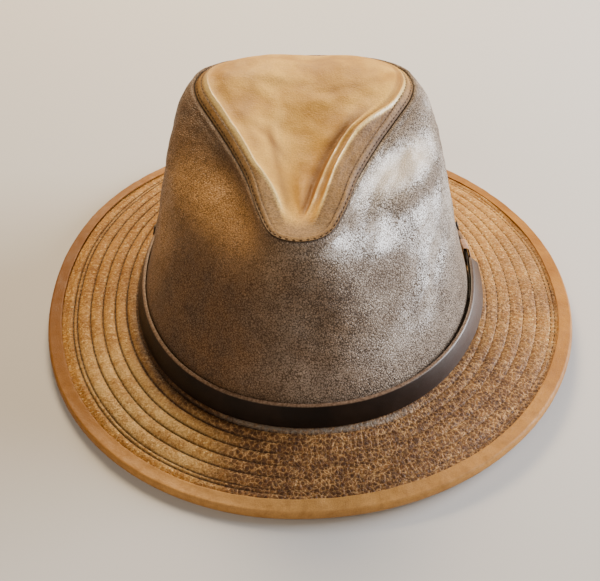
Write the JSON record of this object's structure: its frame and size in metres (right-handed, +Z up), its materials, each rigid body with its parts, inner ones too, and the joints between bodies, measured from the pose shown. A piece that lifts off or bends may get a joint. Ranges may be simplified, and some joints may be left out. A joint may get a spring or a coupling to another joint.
{
  "type": "leather hat",
  "caption": "Leather outdoor hat with a pinched, creased crown, a quilted brim with a bound edge, and a dark strap round the crown's foot.",
  "frame": {"origin": "on the surface that the hat lies on, under the middle of the brim's outline", "axes": "+X towards the wearer's left, +Y towards the back of the hat, -Y towards its front, +Z up"},
  "size_m": [0.286, 0.322, 0.12],
  "materials": {
    "brim_leather": "rubbed tan leather with dark grain, stitched in rows",
    "binding_leather": "smooth golden tan leather, satin",
    "crown_leather": "rubbed brown leather with dark pebble grain, satin",
    "tip_leather": "smooth golden brown leather, satin",
    "strap_leather": "very dark brown smooth leather, semi-gloss",
    "keeper_leather": "tan leather, matt",
    "eyelet_metal": "dark antique finish"
  },
  "bodies": {
    "root": {"brim": "brim_leather", "brim_binding": "binding_leather", "crown_side": "crown_leather", "crown_tip": "tip_leather", "band_strap": "strap_leather", "band_keeper": "keeper_leather", "vent_eyelet_left": "eyelet_metal", "vent_eyelet_right": "eyelet_metal"}
  },
  "joints": []
}
